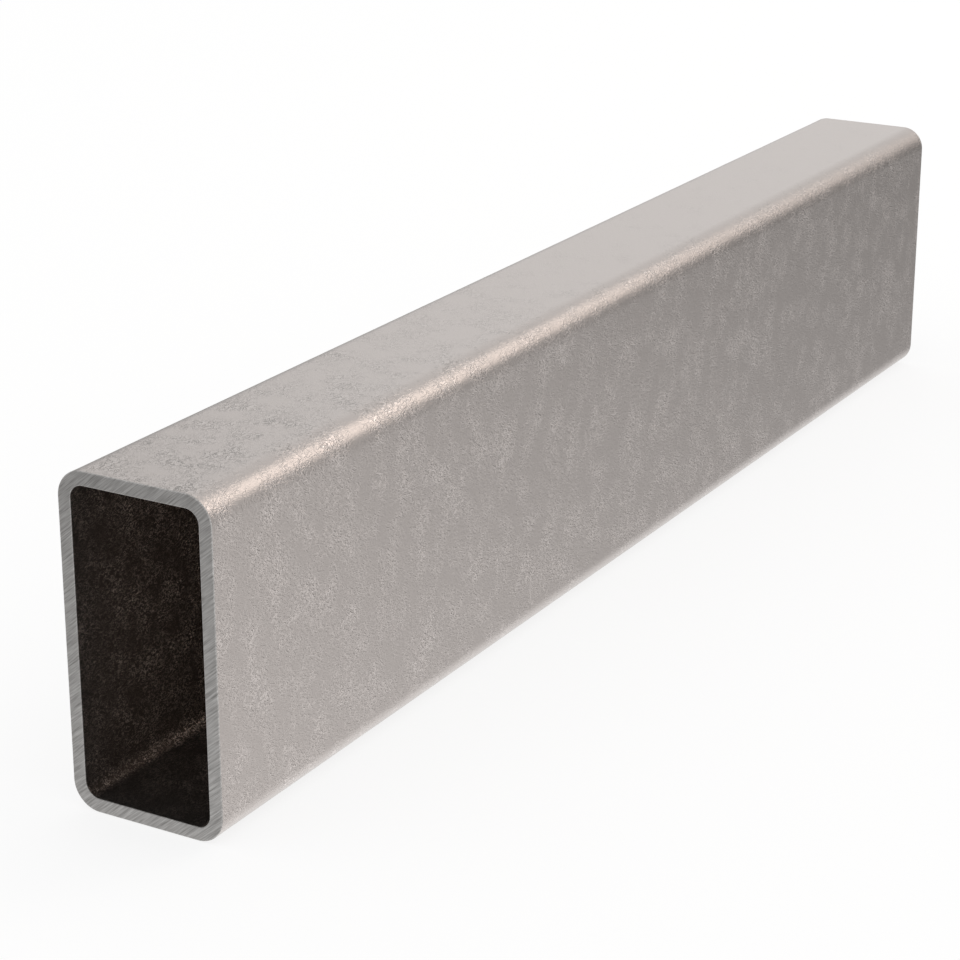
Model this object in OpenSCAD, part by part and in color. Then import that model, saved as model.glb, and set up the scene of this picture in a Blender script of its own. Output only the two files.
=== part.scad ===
// Steel reinforcement insert: a length of cold-formed rectangular hollow
// section that slides inside a hollow frame profile to stiffen it.
// It stands on a narrow side, with its length along Y and its middle over the
// origin. Sizes are in millimetres.

/* [Section] */
// Outside width of the narrow sides
section_width = 60; // [40:1:120]
// Outside height of the wide sides
section_height = 120; // [60:1:240]
// Wall thickness, the same all round
wall = 5; // [3:0.5:8]
// Inside radius of the four bends
inside_bend_radius = 5; // [3:0.5:8]

/* [Ends] */
// Length between the two saw cuts
cut_length = 600; // [100:10:6000]
// Width of the deburred edge round each saw cut
edge_break = 0.3; // [0.1:0.1:1]

/* [Hidden] */
$fn = 96;

// The wall bends at a constant thickness, so both faces of a bend share a centre.
outside_bend_radius = inside_bend_radius + wall;
bore_width = section_width - 2 * wall;
bore_height = section_height - 2 * wall;
// How far the bore's cutter runs past each saw cut
overrun = 1;

// Rectangle with round corners, centred.
module rounded_outline(width, height, radius) {
    square([width - 2 * radius, height], center = true);
    square([width, height - 2 * radius], center = true);
    for (x = [-1, 1], z = [-1, 1])
        translate([x * (width / 2 - radius), z * (height / 2 - radius)])
            circle(r = radius);
}

// Bar of that outline, centred, with its length along the third axis.
module rounded_bar(width, height, radius, length) {
    translate([0, 0, -length / 2])
        linear_extrude(length)
            rounded_outline(width, height, radius);
}

// Bar whose outline grows by the same amount on every side over its length,
// with its small end at zero. The corners are cones and the sides are flat.
module flared_bar(width, height, radius, growth) {
    span_x = width / 2 - radius;
    span_z = height / 2 - radius;
    for (x = [-1, 1], z = [-1, 1])
        translate([x * span_x, z * span_z])
            cylinder(r1 = radius, r2 = radius + growth, h = growth);
    flared_slab(2 * span_x, height / 2, growth);
    rotate([0, 0, 90])
        flared_slab(2 * span_z, width / 2, growth);
}

// Slab of one length in X whose half depth in Y grows as it rises.
module flared_slab(slab_length, half_depth, growth) {
    rotate([90, 0, 90])
        translate([0, 0, -slab_length / 2])
            linear_extrude(slab_length)
                polygon([
                    [-half_depth, 0],
                    [half_depth, 0],
                    [half_depth + growth, growth],
                    [-half_depth - growth, growth]
                ]);
}

module box_section() {
    color([0.64, 0.61, 0.59])
        translate([0, 0, section_height / 2])
            rotate([90, 0, 0])
                difference() {
                    deburred_bar();
                    bore();
                }
}

// Outside of the tube, with the edge of each saw cut broken.
module deburred_bar() {
    rounded_bar(section_width, section_height, outside_bend_radius, cut_length - 2 * edge_break);
    for (end = [0, 1])
        mirror([0, 0, end])
            translate([0, 0, cut_length / 2])
                mirror([0, 0, 1])
                    flared_bar(
                        section_width - 2 * edge_break,
                        section_height - 2 * edge_break,
                        outside_bend_radius - edge_break,
                        edge_break
                    );
}

// Inside of the tube, opening out where each saw cut is deburred.
module bore() {
    rounded_bar(bore_width, bore_height, inside_bend_radius, cut_length + 2 * overrun);
    for (end = [0, 1])
        mirror([0, 0, end])
            translate([0, 0, cut_length / 2 - edge_break])
                flared_bar(bore_width, bore_height, inside_bend_radius, edge_break + overrun);
}

box_section();
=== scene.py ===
import math

import bmesh
import bpy
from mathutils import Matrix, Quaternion, Vector


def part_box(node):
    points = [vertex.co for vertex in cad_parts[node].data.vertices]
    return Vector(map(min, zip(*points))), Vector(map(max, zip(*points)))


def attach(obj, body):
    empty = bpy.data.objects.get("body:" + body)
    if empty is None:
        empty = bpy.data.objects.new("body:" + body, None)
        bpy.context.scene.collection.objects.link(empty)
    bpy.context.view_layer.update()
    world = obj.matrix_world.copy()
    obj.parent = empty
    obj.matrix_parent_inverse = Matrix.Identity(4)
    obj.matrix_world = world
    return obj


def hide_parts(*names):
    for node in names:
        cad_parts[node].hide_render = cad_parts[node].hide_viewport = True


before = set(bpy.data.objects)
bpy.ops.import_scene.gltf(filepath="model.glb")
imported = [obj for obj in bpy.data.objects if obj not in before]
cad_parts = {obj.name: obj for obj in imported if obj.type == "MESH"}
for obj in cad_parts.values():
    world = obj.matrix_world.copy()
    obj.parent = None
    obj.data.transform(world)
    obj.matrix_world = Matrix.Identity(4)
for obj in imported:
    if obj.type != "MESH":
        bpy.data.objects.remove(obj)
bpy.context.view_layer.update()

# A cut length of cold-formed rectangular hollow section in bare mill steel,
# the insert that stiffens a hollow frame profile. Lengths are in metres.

MM = 0.001

# Sizes of the tube, the same as in the CAD source.
WALL = 5 * MM
INSIDE_BEND = 5 * MM
OUTSIDE_BEND = INSIDE_BEND + WALL
EDGE_BREAK = 0.3 * MM

# Fineness of the outside skin, whose slight waves are in the mesh. Blender's subdivide makes at most
# MOST_CUTS cuts at once. Edges where the surface turns by more than CREASE stay sharp in the shading.
BEND_SEGMENTS = 20
SKIN_STEP = 2 * MM
MOST_CUTS = 100
CREASE = math.radians(15)

# Waves and small dents left in the sheet by the forming rolls.
# They die away over CALM_END before each cut.
WAVE_LENGTH = 26 * MM
WAVE_DEPTH = 0.06 * MM
DENT_LENGTH = 9 * MM
DENT_DEPTH = 0.02 * MM
CALM_END = 4 * MM

# Scuffs of handling on the skin. Real ones are down to 0.1 mm wide and wouldn't show, so they are drawn
# several times as coarse. The turn keeps the noise's own grid off the faces. The scale, which is less than
# 1 along the tube, lengthens the strokes that way, because the side is seen aslant.
SKIN_SCUFF = 1.15 * MM
SKIN_SCUFF_HEIGHT = 0.05 * MM
SCUFF_TURN = (0.9, 0.7, 0.4)
SCUFF_SCALE = (1.0, 0.6, 1.0)

# Worn patches, the smooth ones between them, and the share of the wear that is left on the top
# from its middle to the far end.
PATCH = 10 * MM
PATCH_TURN = (0.6, 0.4, 0.9)
PATCH_SCALE = (0.75, 0.9, 0.75)
WEAR_ON_FAR_TOP = 0.4

# Roughness of the skin where it is unworn and where it is worn, of the cuts, and of the bore's scale.
UNWORN_ROUGHNESS = 0.37
WORN_ROUGHNESS = 0.32
SAWN_ROUGHNESS = 0.28
SCALE_ROUGHNESS = 0.5

# Marks in the bore's scale.
BORE_MARK = 0.7 * MM
BORE_MARK_HEIGHT = 0.05 * MM

# Painted light in the bore, as a factor on its colour: darker at the cuts and lighter from BORE_FADE
# inwards, which evens out the light that falls off inwards; a painted sheen along the lower bends; and
# painted shade on the bore's floor.
BORE_FADE = 65 * MM
PAINTED_LIGHT_AT_CUT = 0.22
PAINTED_LIGHT_INSIDE = 1.3
PAINTED_SHEEN_ON_LOWER_BENDS = 1.8
PAINTED_SHADE_ON_FLOOR = 0.2

# Colours as sRGB hex values: the bare strip; its worn lips, with a painted sheen that makes them paler on
# the sides than on the top; the painted shade in the top's grooves; the darkest and palest tooth lines; the
# oiled scale with its marks painted pale as glints; and the studio.
STRIP = "B1AAA6"
LIP_WITH_SHEEN_ON_SIDE = "D0C8C4"
LIP_ON_TOP = "BFB9B5"
GROOVE_SHADE_ON_TOP = "6C6864"
DARK_LINE = "807E7C"
PALE_LINE = "BCBAB8"
OILED_SCALE = "453931"
PAINTED_GLINT = "D8C4B6"
WHITE = "FFFFFF"
PAPER = "F8F8F8"
WARM_LIGHT = "FFF1E6"

# Tooth lines of the saw: how steeply they rise across the cut in degrees, how far apart they are,
# how much longer than that each one is, and how deep they are.
SAW_SLANT = 50
TOOTH_SPACING = 0.5 * MM
TOOTH_LINE = 20
TOOTH_DEPTH = 0.03 * MM

# The room that the metal mirrors: azimuth and elevation of each patch in degrees, how much narrower
# it is along each axis, its reach, and how much brighter or darker it is than plain white.
ROOM = (
    # Dark wall beyond the far end, which the long right side mirrors.
    (17, -3, (1.0, 1.0, 1.15), 0.70, -0.985),
    # Lit upper wall beyond the far end, which the top mirrors.
    (-24, 18, (1.0, 1.0, 1.0), 0.5, 0.28),
    # Bright ground, which the lower bends mirror.
    (10, -60, (1.0, 1.0, 1.0), 0.8, 0.6),
    # Darker left wall, which the near end of the top mirrors.
    (-62, 17, (1.0, 1.0, 1.0), 0.5, -0.8),
    # Window wall on the right, whose light reaches the near end of the right side.
    (68, -5, (1.0, 1.0, 1.0), 0.6, 0.7),
    # Dark foot of the left wall, which draws the top's left edge.
    (-36, -16, (1.0, 1.0, 1.0), 0.55, -0.95),
    # Dark wall to the left of the camera, which the near cut mirrors.
    (-141, -5, (1.0, 1.0, 1.0), 0.5, -0.95),
    # Bright band above the camera, which the bends mirror when they are seen from the far end.
    (180, 35, (0.6, 1.0, 1.5), 0.5, 1.6),
)

# The softbox that lights the upper right bend: where it is from the near end of that bend, and how far.
SOFTBOX_WAY = (28, 28)
SOFTBOX_DISTANCE = 3.0
SOFTBOX_SIZE = (0.85, 1.5)
SOFTBOX_LEAN = -36
SOFTBOX_WATTS = 9.6

# The floor: its width, its drop under the tube, and the share of it that shows as plain white.
FLOOR_WIDTH = 12
FLOOR_DROP = 0.3 * MM
FLOOR_WHITE = 0.8

# The photograph's camera, fitted to the tube's outlines: its place, how far it is turned left of +Y and
# tilted down in degrees, and its lens and sensor in millimetres.
CAMERA_PLACE = (0.4852, -0.9230, 0.4054)
CAMERA_AZIMUTH = 30.0
CAMERA_ELEVATION = 20.0
CAMERA_LENS = 100.0
SENSOR_WIDTH = 36.0


# Small helpers for work in edit mode

def deselect_everything():
    """Leaves object mode with nothing selected, so that an operator acts only on what is picked next."""
    if bpy.context.object and bpy.context.object.mode != "OBJECT":
        bpy.ops.object.mode_set(mode="OBJECT")
    bpy.ops.object.select_all(action="DESELECT")


def edit(piece, parts):
    """Goes into edit mode on a piece, with vertices, edges or faces as what is picked."""
    deselect_everything()
    piece.select_set(True)
    bpy.context.view_layer.objects.active = piece
    bpy.ops.object.mode_set(mode="EDIT")
    bpy.ops.mesh.select_mode(type=parts)
    bpy.ops.mesh.select_all(action="DESELECT")


def pick_edges(piece, wanted):
    """Selects the edges for which wanted says yes."""
    edit(piece, "EDGE")
    mesh = bmesh.from_edit_mesh(piece.data)
    for edge in mesh.edges:
        edge.select_set(wanted(edge))
    bmesh.update_edit_mesh(piece.data)


def pick_faces(piece, wanted):
    """Selects the faces for which wanted says yes."""
    edit(piece, "FACE")
    mesh = bmesh.from_edit_mesh(piece.data)
    for face in mesh.faces:
        face.select_set(wanted(face))
    bmesh.update_edit_mesh(piece.data)


# Where a point is in the tube's section

low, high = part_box("box_section")
MIDDLE = (low + high) / 2
HALF = (high - low) / 2
NEAR_BEND = Vector((high.x, low.y, high.z))


def depth_under_skin(point):
    """How far a point is inside the outside outline of the section, in metres."""
    across = abs(point.x - MIDDLE.x) - (HALF.x - OUTSIDE_BEND)
    up = abs(point.z - MIDDLE.z) - (HALF.z - OUTSIDE_BEND)
    beyond = math.hypot(max(across, 0), max(up, 0))
    return OUTSIDE_BEND - beyond - min(max(across, up), 0)


def on_skin(point):
    return depth_under_skin(point) < 0.1 * MM


def from_cut(point):
    """Distance to the nearer saw cut."""
    return HALF.y - abs(point.y - MIDDLE.y)


# The tube

def rounded_bar():
    """A solid bar of the section's outside shape, between the two saw cuts."""
    deselect_everything()
    bpy.ops.mesh.primitive_cube_add(size=1, location=MIDDLE, scale=HALF * 2)
    bpy.ops.object.transform_apply(location=True, rotation=True, scale=True)
    bar = bpy.context.object
    bar.name = bar.data.name = "steel_tube"
    pick_edges(bar, lambda edge: runs_along(edge) > WALL)
    bpy.ops.mesh.bevel(offset=OUTSIDE_BEND, segments=BEND_SEGMENTS, affect="EDGES")
    return bar


def runs_along(edge):
    """How far an edge runs along the tube."""
    return abs(edge.verts[0].co.y - edge.verts[1].co.y)


def open_bore(tube):
    """Insets the two end faces by the wall and bridges what is left, which makes the bore."""
    pick_faces(tube, lambda face: abs(face.normal.y) > 0.9)
    bpy.ops.mesh.inset(thickness=WALL, use_even_offset=True)
    bpy.ops.mesh.bridge_edge_loops()


def break_edges(tube):
    """Takes the burr off the inner and outer rims of both cuts."""
    pick_edges(tube, lambda edge: runs_along(edge) < MM and is_rim(edge))
    bpy.ops.mesh.bevel(offset=EDGE_BREAK, segments=2, affect="EDGES")


def is_rim(edge):
    """True where a cut meets the skin or the bore."""
    faces_cut = [abs(face.normal.y) > 0.9 for face in edge.link_faces]
    return any(faces_cut) and not all(faces_cut)


def refine_flats(tube):
    """Cuts the flat strips of the section into narrow ones, all the way round the wall."""
    for flat in (2 * (HALF.z - OUTSIDE_BEND), 2 * (HALF.x - OUTSIDE_BEND)):
        pick_edges(tube, lambda edge: runs_along(edge) < MM and abs(edge.calc_length() - flat) < MM)
        bpy.ops.mesh.subdivide(number_cuts=round(flat / SKIN_STEP) - 1)


def refine_skin(tube):
    """Cuts the outside skin into short lengths, in rounds because one can't make so many cuts."""
    rounds = math.ceil(2 * HALF.y / SKIN_STEP / MOST_CUTS)
    pick_edges(tube, is_long_skin_edge)
    bpy.ops.mesh.subdivide(number_cuts=rounds - 1)
    pick_edges(tube, is_long_skin_edge)
    bpy.ops.mesh.subdivide(number_cuts=round(2 * HALF.y / SKIN_STEP / rounds) - 1)


def is_long_skin_edge(edge):
    return runs_along(edge) > 10 * SKIN_STEP and on_skin(edge.verts[0].co)


def wave_skin(tube):
    """Lets the skin wander inwards a few hundredths of a millimetre, less near the cuts."""
    deselect_everything()
    bpy.context.view_layer.objects.active = tube
    group = tube.vertex_groups.new(name="skin")
    for vertex in tube.data.vertices:
        calm = from_cut(vertex.co) - 2 * EDGE_BREAK
        if on_skin(vertex.co) and calm > 0:
            group.add([vertex.index], min(calm / CALM_END, 1), "REPLACE")
    for name, length, depth in (("roll_waves", WAVE_LENGTH, WAVE_DEPTH), ("dents", DENT_LENGTH, DENT_DEPTH)):
        clouds = bpy.data.textures.new(name, "CLOUDS")
        clouds.noise_scale = length
        clouds.noise_depth = 1
        waves = tube.modifiers.new(name, "DISPLACE")
        waves.texture = clouds
        waves.texture_coords = "LOCAL"
        waves.strength = depth
        waves.mid_level = 1
        waves.vertex_group = group.name
        bpy.ops.object.modifier_apply(modifier=name)
    tube.vertex_groups.clear()


def give_materials(tube, skin, cut, bore):
    for material in (skin, cut, bore):
        tube.data.materials.append(material)
    for face in tube.data.polygons:
        face.material_index = finish_of(face)


def finish_of(face):
    """Which finish a face has: 0 the skin, 1 the cut with its broken edges, 2 the bore."""
    if from_cut(face.center) < EDGE_BREAK:
        return 1
    return 0 if depth_under_skin(face.center) < WALL / 2 else 2


def steel_tube():
    tube = rounded_bar()
    open_bore(tube)
    break_edges(tube)
    refine_flats(tube)
    refine_skin(tube)
    wave_skin(tube)
    deselect_everything()
    tube.select_set(True)
    bpy.ops.object.shade_smooth_by_angle(angle=CREASE)
    give_materials(tube, mill_finish_steel(), sawn_steel(), oiled_scale())
    return tube


# Colours and nodes

def srgb(text):
    """Linear colour, without transparency, of an sRGB hex value such as "A69E97"."""
    def linear(part):
        value = int(part, 16) / 255
        return value / 12.92 if value <= 0.04045 else ((value + 0.055) / 1.055) ** 2.4
    return (linear(text[0:2]), linear(text[2:4]), linear(text[4:6]), 1.0)


def add(tree, kind, inputs=None, **settings):
    """Adds a node, sets its properties, and fills its inputs with values or links to other outputs."""
    node = tree.nodes.new(kind)
    for name, value in settings.items():
        setattr(node, name, value)
    for name, value in (inputs or {}).items():
        if isinstance(value, bpy.types.NodeSocket):
            tree.links.new(value, node.inputs[name])
        else:
            node.inputs[name].default_value = value
    return node


def new_material(name):
    material = bpy.data.materials.new(name)
    material.use_nodes = True
    material.node_tree.nodes.clear()
    return material, material.node_tree


# Finishes

def mill_finish_steel():
    """Steel strip, cold formed and left bare. A warm grey metal whose soft sheen is broken by short curling
    scuffs, each a raised lip beside a groove, thick in some patches and nearly absent in others. The lips
    are worn pale, with a painted sheen that makes them paler on the sides than on the top, and on the top
    the grooves hold painted shade."""
    material, tree = new_material("mill_finish_steel")
    place = add(tree, "ShaderNodeTexCoord").outputs["Object"]
    top = top_share(tree)
    worn = add(tree, "ShaderNodeMath", {
        0: patches(tree, place, least=0.2), 1: handling(tree, place, top),
    }, operation="MULTIPLY").outputs["Value"]
    scuffed = add(tree, "ShaderNodeMath", {
        0: scuffs(tree, place, SKIN_SCUFF), 1: worn,
    }, operation="MULTIPLY").outputs["Value"]
    lip = add(tree, "ShaderNodeMapRange", {"Value": scuffed, "From Min": 0.4, "From Max": 1.0})
    groove = add(tree, "ShaderNodeMapRange", {"Value": scuffed, "From Min": -0.25, "From Max": -1.0})
    # Lip colour: worn pale, with a painted sheen that is stronger on the sides than on the top.
    paler_with_sheen = add(tree, "ShaderNodeMix", {
        0: top, 6: srgb(LIP_WITH_SHEEN_ON_SIDE), 7: srgb(LIP_ON_TOP),
    }, data_type="RGBA")
    # Painted shade in the top's grooves, which takes the place of a grime colour.
    groove_shade = add(tree, "ShaderNodeMix", {
        0: top, 6: srgb(STRIP), 7: srgb(GROOVE_SHADE_ON_TOP),
    }, data_type="RGBA")
    raised = add(tree, "ShaderNodeMix", {
        0: lip.outputs["Result"], 6: srgb(STRIP), 7: paler_with_sheen.outputs[2],
    }, data_type="RGBA")
    colour = add(tree, "ShaderNodeMix", {
        0: groove.outputs["Result"], 6: raised.outputs[2], 7: groove_shade.outputs[2],
    }, data_type="RGBA")
    relief = add(tree, "ShaderNodeBump", {
        "Strength": 1.0, "Distance": SKIN_SCUFF_HEIGHT, "Height": scuffed,
    })
    roughness = add(tree, "ShaderNodeMapRange", {
        "Value": worn, "To Min": UNWORN_ROUGHNESS, "To Max": WORN_ROUGHNESS,
    })
    shader = add(tree, "ShaderNodeBsdfPrincipled", {
        "Base Color": colour.outputs[2], "Metallic": 1.0, "Roughness": roughness.outputs["Result"],
        "Normal": relief.outputs["Normal"],
    })
    add(tree, "ShaderNodeOutputMaterial", {"Surface": shader.outputs["BSDF"]})
    return material


def patches(tree, place, least):
    """How worn the surface is: 1 over most of it, and down to the least in smooth patches between."""
    drawn = add(tree, "ShaderNodeMapping", {
        "Vector": place, "Rotation": PATCH_TURN, "Scale": PATCH_SCALE,
    })
    clouds = add(tree, "ShaderNodeTexNoise", {
        "Vector": drawn.outputs["Vector"], "Scale": 1 / PATCH, "Detail": 4.0, "Roughness": 0.65,
    })
    return add(tree, "ShaderNodeMapRange", {
        "Value": clouds.outputs["Fac"], "From Min": 0.36, "From Max": 0.65, "To Min": least, "To Max": 1.0,
    }).outputs["Result"]


def handling(tree, place, top):
    """Share of the wear that the skin keeps. On the top it falls off from the near cut to the middle."""
    apart = add(tree, "ShaderNodeSeparateXYZ", {"Vector": place})
    near = add(tree, "ShaderNodeMapRange", {
        "Value": apart.outputs["Y"],
        "From Min": low.y, "From Max": MIDDLE.y, "To Min": 1.0, "To Max": WEAR_ON_FAR_TOP,
    })
    return add(tree, "ShaderNodeMix", {0: top, 2: 1.0, 3: near.outputs["Result"]}).outputs[0]


def top_share(tree):
    """1 on the flat top, 0 on the sides, and in between on the upper bends."""
    return add(tree, "ShaderNodeMapRange", {
        "Value": upward(tree), "From Min": 0.8, "From Max": 1.0,
    }).outputs["Result"]


def upward(tree):
    """How far the face looks up: 1 on a top, 0 on a side, -1 on an underside."""
    facing = add(tree, "ShaderNodeNewGeometry").outputs["True Normal"]
    return add(tree, "ShaderNodeSeparateXYZ", {"Vector": facing}).outputs["Z"]


def scuffs(tree, place, size):
    """Short curling strokes: 1 along a raised lip, -1 along the groove beside it, and 0 between."""
    drawn = add(tree, "ShaderNodeMapping", {
        "Vector": place, "Rotation": SCUFF_TURN, "Scale": SCUFF_SCALE,
    })
    swirls = add(tree, "ShaderNodeTexNoise", {
        "Vector": drawn.outputs["Vector"], "Scale": 1 / size, "Detail": 1.0, "Roughness": 0.5,
        "Distortion": 0.7,
    })
    turns = add(tree, "ShaderNodeMapRange", {
        "Value": swirls.outputs["Fac"],
        "From Min": 0.35, "From Max": 0.65, "To Min": -math.pi, "To Max": math.pi,
    })
    return add(tree, "ShaderNodeMath", {0: turns.outputs["Result"]}, operation="SINE").outputs["Value"]


def sawn_steel():
    """Steel cut with a band saw. Neutral grey, with fine slanting tooth lines."""
    material, tree = new_material("sawn_steel")
    place = add(tree, "ShaderNodeTexCoord").outputs["Object"]
    turned = add(tree, "ShaderNodeMapping", {
        "Vector": place, "Rotation": (0, math.radians(-SAW_SLANT), 0),
    })
    drawn = add(tree, "ShaderNodeMapping", {
        "Vector": turned.outputs["Vector"], "Scale": (1.0, 1.0, 1 / TOOTH_LINE),
    })
    lines = add(tree, "ShaderNodeTexNoise", {
        "Vector": drawn.outputs["Vector"], "Scale": 1 / TOOTH_SPACING, "Detail": 3.0, "Roughness": 0.6,
    })
    tone = add(tree, "ShaderNodeMapRange", {
        "Value": lines.outputs["Fac"], "From Min": 0.3, "From Max": 0.7, "To Min": 0.0, "To Max": 1.0,
    })
    colour = add(tree, "ShaderNodeMix", {
        0: tone.outputs["Result"], 6: srgb(DARK_LINE), 7: srgb(PALE_LINE),
    }, data_type="RGBA")
    relief = add(tree, "ShaderNodeBump", {
        "Strength": 0.6, "Distance": TOOTH_DEPTH, "Height": lines.outputs["Fac"],
    })
    shader = add(tree, "ShaderNodeBsdfPrincipled", {
        "Base Color": colour.outputs[2], "Metallic": 1.0, "Roughness": SAWN_ROUGHNESS,
        "Normal": relief.outputs["Normal"],
    })
    add(tree, "ShaderNodeOutputMaterial", {"Surface": shader.outputs["BSDF"]})
    return material


def oiled_scale():
    """The bore's mill scale under a film of rolling oil. Brown-black and nearly matt, with clusters of
    curling marks, painted pale as glints."""
    material, tree = new_material("oiled_mill_scale")
    place = add(tree, "ShaderNodeTexCoord").outputs["Object"]
    marked = add(tree, "ShaderNodeMath", {
        0: scuffs(tree, place, BORE_MARK), 1: patches(tree, place, least=0.5),
    }, operation="MULTIPLY").outputs["Value"]
    # Painted glints on the curling marks.
    pale = add(tree, "ShaderNodeMapRange", {"Value": marked, "From Min": 0.35, "From Max": 1.0})
    film = add(tree, "ShaderNodeMix", {
        0: pale.outputs["Result"], 6: srgb(OILED_SCALE), 7: srgb(PAINTED_GLINT),
    }, data_type="RGBA")
    # The scale's colour, times painted light and shade.
    colour = add(tree, "ShaderNodeVectorMath", {
        0: film.outputs[2], "Scale": painted_bore_light(tree, place),
    }, operation="SCALE")
    relief = add(tree, "ShaderNodeBump", {
        "Strength": 1.0, "Distance": BORE_MARK_HEIGHT, "Height": marked,
    })
    shader = add(tree, "ShaderNodeBsdfPrincipled", {
        "Base Color": colour.outputs["Vector"], "Metallic": 0.0, "Roughness": SCALE_ROUGHNESS,
        "Normal": relief.outputs["Normal"],
    })
    add(tree, "ShaderNodeOutputMaterial", {"Surface": shader.outputs["BSDF"]})
    return material


def painted_bore_light(tree, place):
    """Painted light on the oil film: darker at both cuts and lighter deep inside, which evens out the light
    that falls off inwards, with a painted sheen along the lower bends and painted shade on the bore's floor."""
    apart = add(tree, "ShaderNodeSeparateXYZ", {"Vector": place})
    off_middle = add(tree, "ShaderNodeMath", {0: apart.outputs["Y"]}, operation="ABSOLUTE")
    deep = add(tree, "ShaderNodeMapRange", {
        "Value": off_middle.outputs["Value"],
        "From Min": HALF.y, "From Max": HALF.y - BORE_FADE, "To Min": PAINTED_LIGHT_AT_CUT, "To Max": PAINTED_LIGHT_INSIDE,
    })
    up = upward(tree)
    paler_with_sheen = add(tree, "ShaderNodeMapRange", {
        "Value": up, "From Min": 0.2, "From Max": 0.7, "To Min": 1.0, "To Max": PAINTED_SHEEN_ON_LOWER_BENDS,
    })
    floor_shade = add(tree, "ShaderNodeMapRange", {
        "Value": up, "From Min": 0.85, "From Max": 1.0, "To Min": 1.0, "To Max": PAINTED_SHADE_ON_FLOOR,
    })
    low_down = add(tree, "ShaderNodeMath", {
        0: paler_with_sheen.outputs["Result"], 1: floor_shade.outputs["Result"],
    }, operation="MULTIPLY")
    return add(tree, "ShaderNodeMath", {
        0: low_down.outputs["Value"], 1: deep.outputs["Result"],
    }, operation="MULTIPLY").outputs["Value"]


# Stage, lights and camera

def rays_that_mirror(tree):
    """1 for the rays that metal or glass sends on."""
    path = add(tree, "ShaderNodeLightPath")
    return add(tree, "ShaderNodeMath", {
        0: path.outputs["Is Glossy Ray"], 1: path.outputs["Is Transmission Ray"],
    }, operation="MAXIMUM").outputs["Value"]


def rays_that_show(tree):
    """1 for the rays that show a backdrop: the camera's own, and those that metal or glass sends on."""
    path = add(tree, "ShaderNodeLightPath")
    return add(tree, "ShaderNodeMath", {
        0: path.outputs["Is Camera Ray"], 1: rays_that_mirror(tree),
    }, operation="MAXIMUM").outputs["Value"]


def studio_floor():
    """A wide pale sheet under the tube. It shows as white, with part of the tube's soft shadow on it."""
    deselect_everything()
    bpy.ops.mesh.primitive_plane_add(size=FLOOR_WIDTH, location=(0, 0, -FLOOR_DROP))
    bpy.ops.object.transform_apply(location=True, rotation=True, scale=True)
    floor = bpy.context.object
    floor.name = floor.data.name = "studio_floor"
    floor.data.materials.append(matt_white_paper())
    floor.visible_glossy = False


def matt_white_paper():
    """Uncoated paper. Matt white, and most of it shows as it is written, whatever light falls on it."""
    material, tree = new_material("matt_white_paper")
    paper = add(tree, "ShaderNodeBsdfDiffuse", {"Color": srgb(PAPER)})
    white = add(tree, "ShaderNodeEmission", {"Color": srgb(WHITE), "Strength": 1.0})
    share = add(tree, "ShaderNodeMath", {0: rays_that_show(tree), 1: FLOOR_WHITE}, operation="MULTIPLY")
    mixed = add(tree, "ShaderNodeMixShader", {
        0: share.outputs["Value"], 1: paper.outputs["BSDF"], 2: white.outputs["Emission"],
    })
    add(tree, "ShaderNodeOutputMaterial", {"Surface": mixed.outputs["Shader"]})
    return material


def studio_world():
    """White where it shows, and a plain soft light on everything. The metal mirrors a white room instead,
    with the brighter and darker patches that ROOM lists."""
    world = bpy.data.worlds.new("studio")
    bpy.context.scene.world = world
    world.use_nodes = True
    tree = world.node_tree
    tree.nodes.clear()
    way = add(tree, "ShaderNodeTexCoord").outputs["Generated"]
    level = 1.0
    for patch in ROOM:
        level = add(tree, "ShaderNodeMath", {
            0: level, 1: room_patch(tree, way, *patch),
        }, operation="ADD").outputs["Value"]
    level = add(tree, "ShaderNodeMath", {0: level, 1: 0.0}, operation="MAXIMUM").outputs["Value"]
    shown = add(tree, "ShaderNodeMix", {0: rays_that_mirror(tree), 2: 1.0, 3: level})
    sky = add(tree, "ShaderNodeBackground", {"Color": srgb(WHITE), "Strength": shown.outputs[0]})
    add(tree, "ShaderNodeOutputWorld", {"Surface": sky.outputs["Background"]})


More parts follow.
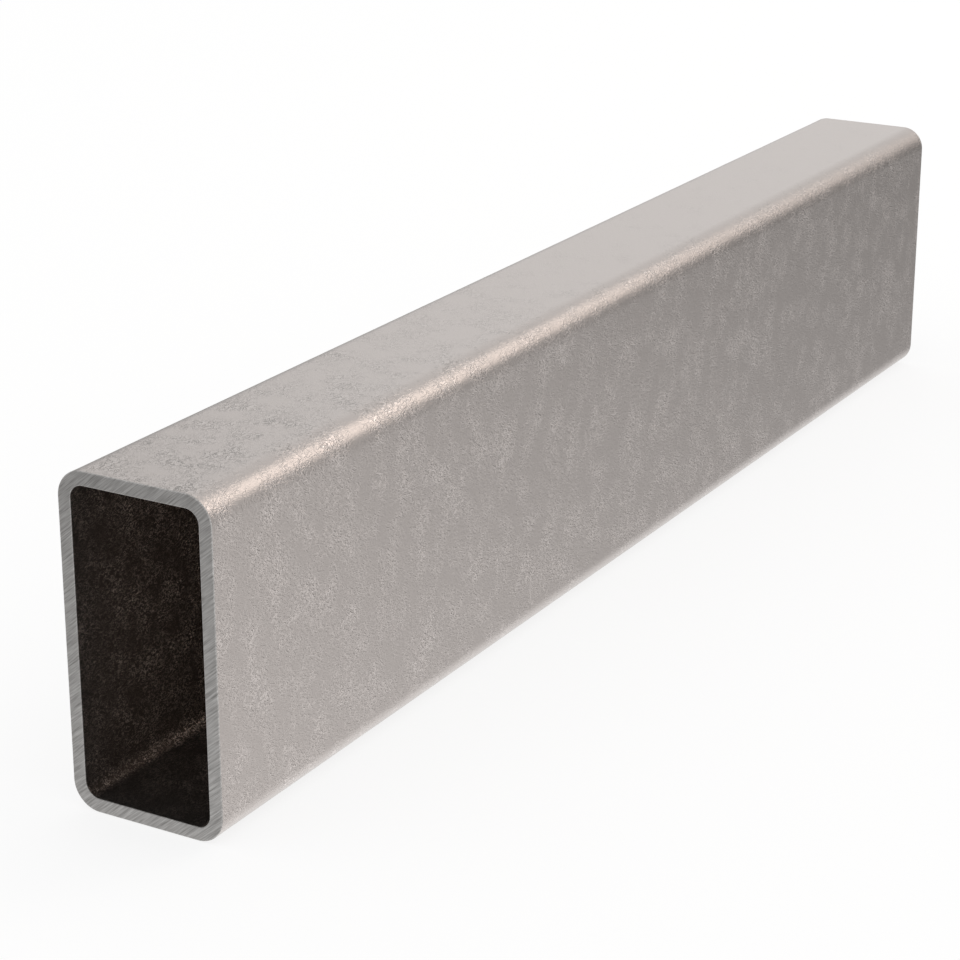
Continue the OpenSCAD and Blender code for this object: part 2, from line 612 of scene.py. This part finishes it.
def room_patch(tree, way, azimuth, elevation, stretch, reach, change):
    """A soft-edged patch of the room round a direction, where its brightness changes."""
    aside = add(tree, "ShaderNodeVectorMath", {
        0: way, 1: direction(azimuth, elevation),
    }, operation="SUBTRACT")
    spread = add(tree, "ShaderNodeVectorMath", {
        0: aside.outputs["Vector"], 1: stretch,
    }, operation="MULTIPLY")
    apart = add(tree, "ShaderNodeVectorMath", {0: spread.outputs["Vector"]}, operation="LENGTH")
    faded = add(tree, "ShaderNodeMapRange", {
        "Value": apart.outputs["Value"],
        "From Min": 0.0, "From Max": reach, "To Min": change, "To Max": 0.0,
    }, interpolation_type="SMOOTHSTEP")
    return faded.outputs["Result"]


def direction(azimuth, elevation):
    """Unit vector at an azimuth from +Y towards +X and an elevation, in degrees."""
    a, e = math.radians(azimuth), math.radians(elevation)
    return Vector((math.sin(a) * math.cos(e), math.cos(a) * math.cos(e), math.sin(e)))


def softbox(name, place, aim, size, lean, power, colour):
    """A rectangular softbox that faces its aim, its long side leaning by some degrees from upright."""
    lamp = bpy.data.lights.new(name, "AREA")
    lamp.shape = "RECTANGLE"
    lamp.size, lamp.size_y = size
    lamp.energy = power
    lamp.color = srgb(colour)[:3]
    holder = bpy.data.objects.new(name, lamp)
    bpy.context.scene.collection.objects.link(holder)
    holder.location = place
    facing = (aim - place).to_track_quat("-Z", "Y")
    holder.rotation_euler = (facing @ Quaternion((0, 0, 1), math.radians(lean))).to_euler()


def photo_camera():
    data = bpy.data.cameras.new("photo_camera")
    data.lens = CAMERA_LENS
    data.sensor_width = SENSOR_WIDTH
    camera = bpy.data.objects.new("photo_camera", data)
    bpy.context.scene.collection.objects.link(camera)
    camera.location = CAMERA_PLACE
    camera.rotation_euler = (math.radians(90 - CAMERA_ELEVATION), 0, math.radians(CAMERA_AZIMUTH))
    bpy.context.scene.camera = camera


def main():
    photo_camera()
    studio_floor()
    studio_world()
    softbox(
        "back_right_softbox",
        NEAR_BEND + SOFTBOX_DISTANCE * direction(*SOFTBOX_WAY), NEAR_BEND,
        SOFTBOX_SIZE, SOFTBOX_LEAN, SOFTBOX_WATTS, WARM_LIGHT,
    )
    tube = steel_tube()
    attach(tube, "root")
    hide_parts("box_section")
    bpy.context.scene.view_settings.view_transform = "Standard"


main()
deselect_everything()
